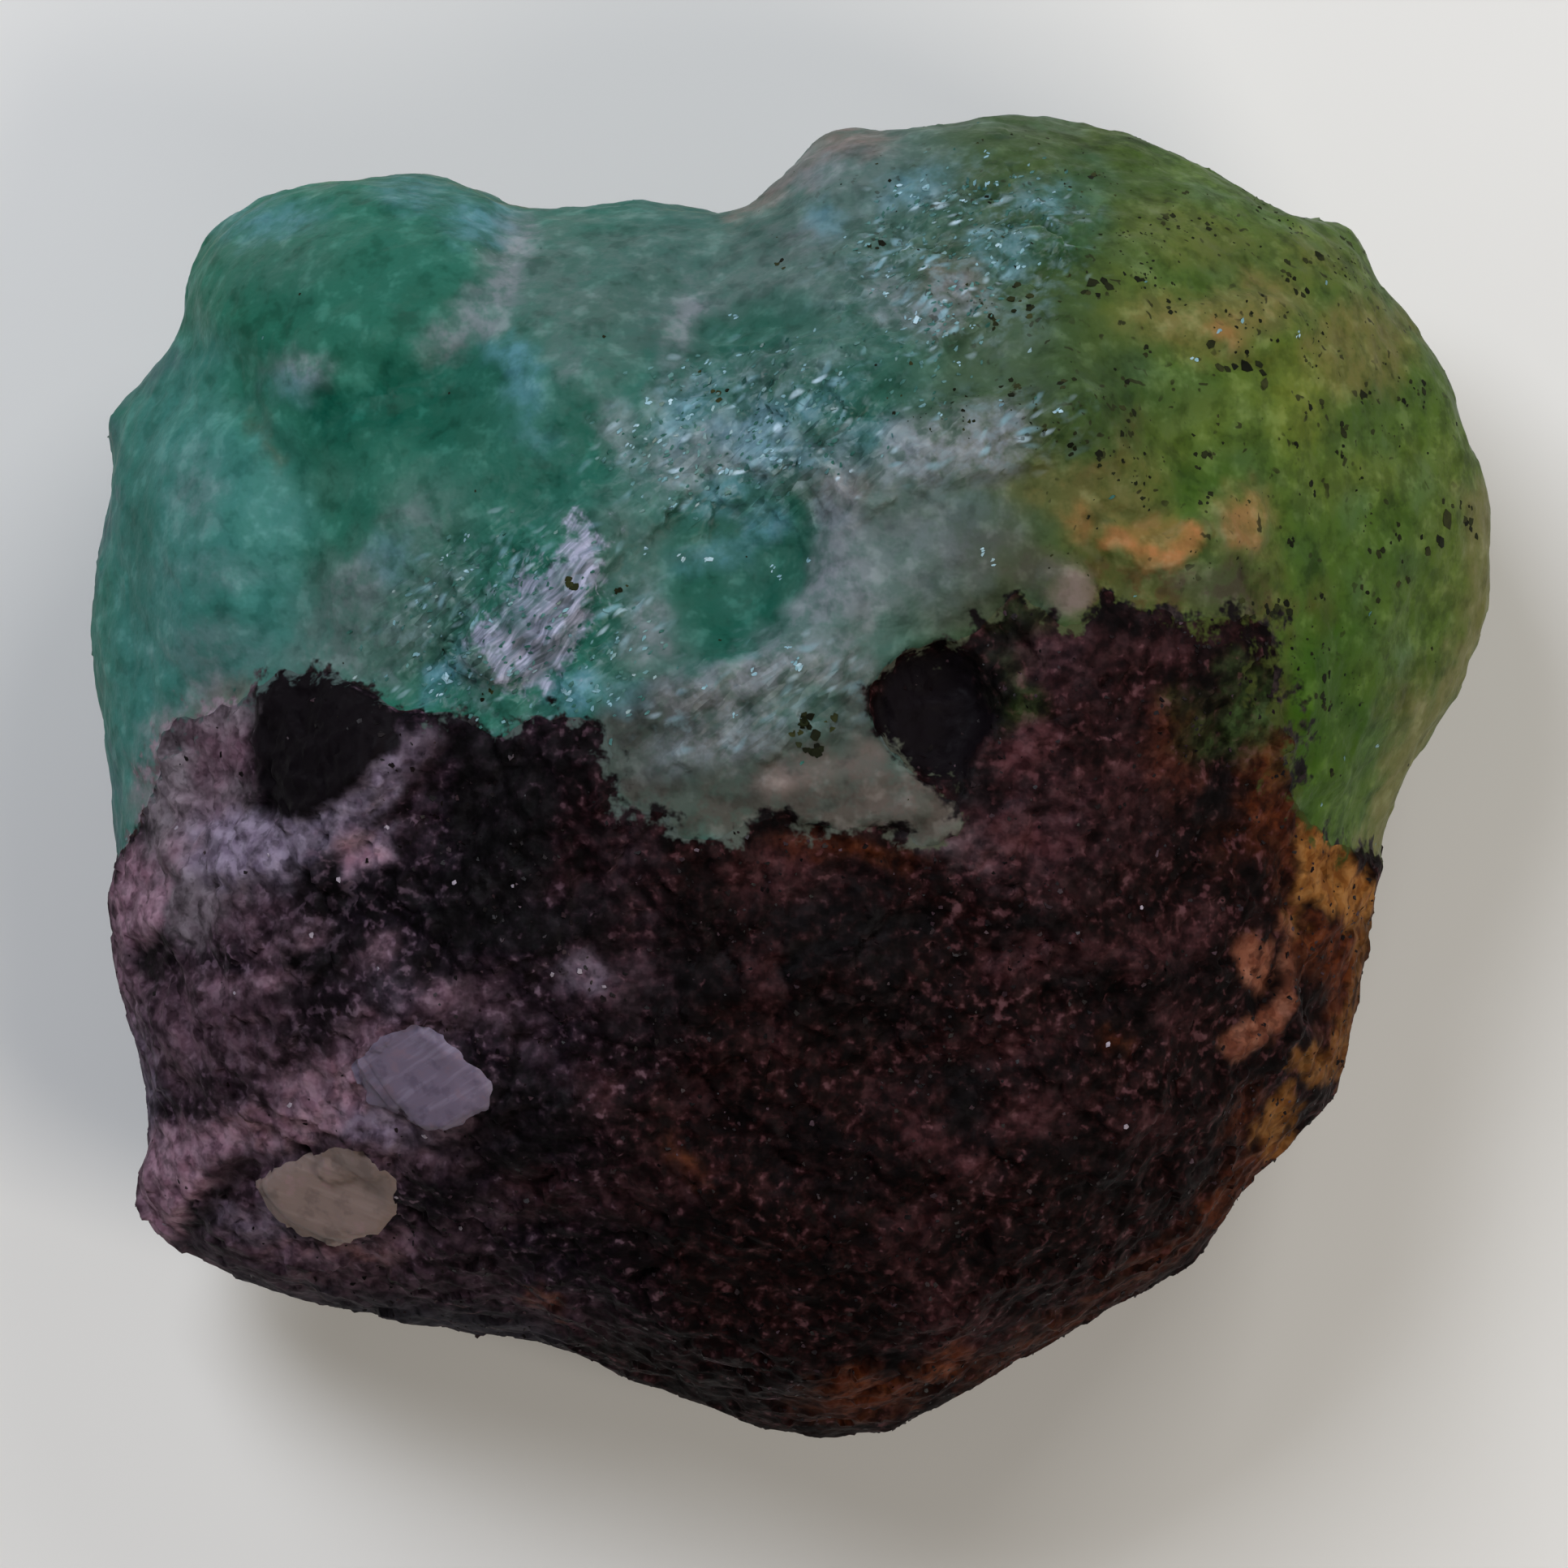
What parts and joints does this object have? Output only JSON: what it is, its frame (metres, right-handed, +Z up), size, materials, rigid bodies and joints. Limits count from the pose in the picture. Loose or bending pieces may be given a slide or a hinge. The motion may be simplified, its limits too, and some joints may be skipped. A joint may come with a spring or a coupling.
{
  "type": "rough emerald in mica schist",
  "caption": "Rough milky green emerald grown on dark mica schist, broken from its vein. It lies on a flat parting face and is a mineral specimen.",
  "frame": {"origin": "middle of the stone's footprint box, on the surface it rests on", "axes": "+Z up out of the broken face, +Y from the schist towards the emerald's free edge, +X to the right along the width"},
  "size_m": [0.046, 0.0432, 0.023],
  "materials": {
    "beryl": "satin",
    "mica_schist": "matte",
    "feldspar_grey": "satin",
    "feldspar_tan": "satin"
  },
  "bodies": {
    "root": {"emerald": "beryl", "mica_schist_matrix": "mica_schist", "feldspar_grain_grey": "feldspar_grey", "feldspar_grain_tan": "feldspar_tan"}
  },
  "joints": []
}
